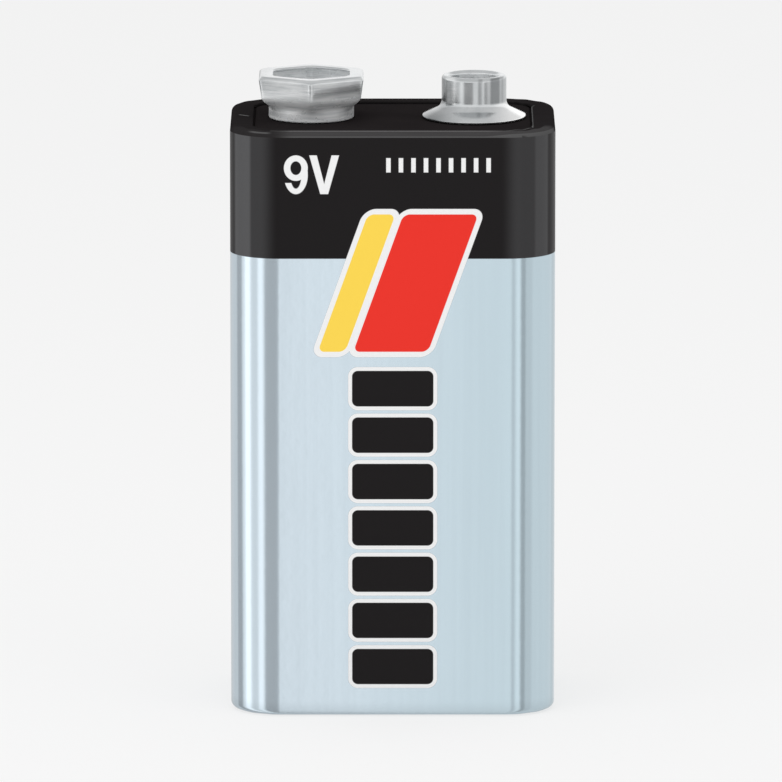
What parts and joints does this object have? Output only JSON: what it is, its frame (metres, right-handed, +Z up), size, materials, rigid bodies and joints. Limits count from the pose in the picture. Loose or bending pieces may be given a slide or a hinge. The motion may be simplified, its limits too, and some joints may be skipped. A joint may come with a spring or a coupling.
{
  "type": "nine volt battery",
  "caption": "Box-shaped nine volt alkaline battery in a crimped steel jacket, with a hexagonal negative snap socket and a round positive snap stud on top.",
  "frame": {"origin": "centre of the base, on the surface that the battery stands on", "axes": "+Z up towards the snaps, -Y out of the wide front face, +X from the negative socket towards the positive stud"},
  "size_m": [0.0248, 0.017, 0.0485],
  "materials": {
    "jacket_lacquer": "glossy lacquer, black band above pale blue",
    "black_plastic": "semi-matte moulded black",
    "nickel_plate": "bright nickel plate",
    "fibre_card": "pressed fibre card",
    "nickel_strip": "satin nickel strip",
    "brass": "bright brass",
    "nylon": "natural nylon",
    "manganese_mix": "pressed black powder",
    "separator_paper": "soft paper",
    "zinc_gel": "grey gel",
    "sleeve_film": "thin insulating film"
  },
  "bodies": {
    "root": {"jacket": "jacket_lacquer", "terminal_plate": "black_plastic", "base_plate": "black_plastic", "negative_socket": "nickel_plate", "positive_stud": "nickel_plate", "negative_rivet": "nickel_plate", "positive_rivet": "nickel_plate", "top_insulator": "fibre_card", "bottom_insulator": "fibre_card", "positive_lead": "nickel_strip", "negative_lead": "nickel_strip", "top_link_front": "nickel_strip", "top_link_back": "nickel_strip", "bottom_link_right": "nickel_strip", "bottom_link_middle": "nickel_strip", "bottom_link_left": "nickel_strip", "cell_1_can": "nickel_plate", "cell_1_collector": "brass", "cell_1_seal": "nylon", "cell_1_cathode": "manganese_mix", "cell_1_separator": "separator_paper", "cell_1_anode": "zinc_gel", "cell_1_sleeve": "sleeve_film", "cell_2_can": "nickel_plate", "cell_2_collector": "brass", "cell_2_seal": "nylon", "cell_2_cathode": "manganese_mix", "cell_2_separator": "separator_paper", "cell_2_anode": "zinc_gel", "cell_2_sleeve": "sleeve_film", "cell_3_can": "nickel_plate", "cell_3_collector": "brass", "cell_3_seal": "nylon", "cell_3_cathode": "manganese_mix", "cell_3_separator": "separator_paper", "cell_3_anode": "zinc_gel", "cell_3_sleeve": "sleeve_film", "cell_4_can": "nickel_plate", "cell_4_collector": "brass", "cell_4_seal": "nylon", "cell_4_cathode": "manganese_mix", "cell_4_separator": "separator_paper", "cell_4_anode": "zinc_gel", "cell_4_sleeve": "sleeve_film", "cell_5_can": "nickel_plate", "cell_5_collector": "brass", "cell_5_seal": "nylon", "cell_5_cathode": "manganese_mix", "cell_5_separator": "separator_paper", "cell_5_anode": "zinc_gel", "cell_5_sleeve": "sleeve_film", "cell_6_can": "nickel_plate", "cell_6_collector": "brass", "cell_6_seal": "nylon", "cell_6_cathode": "manganese_mix", "cell_6_separator": "separator_paper", "cell_6_anode": "zinc_gel", "cell_6_sleeve": "sleeve_film"}
  },
  "joints": []
}
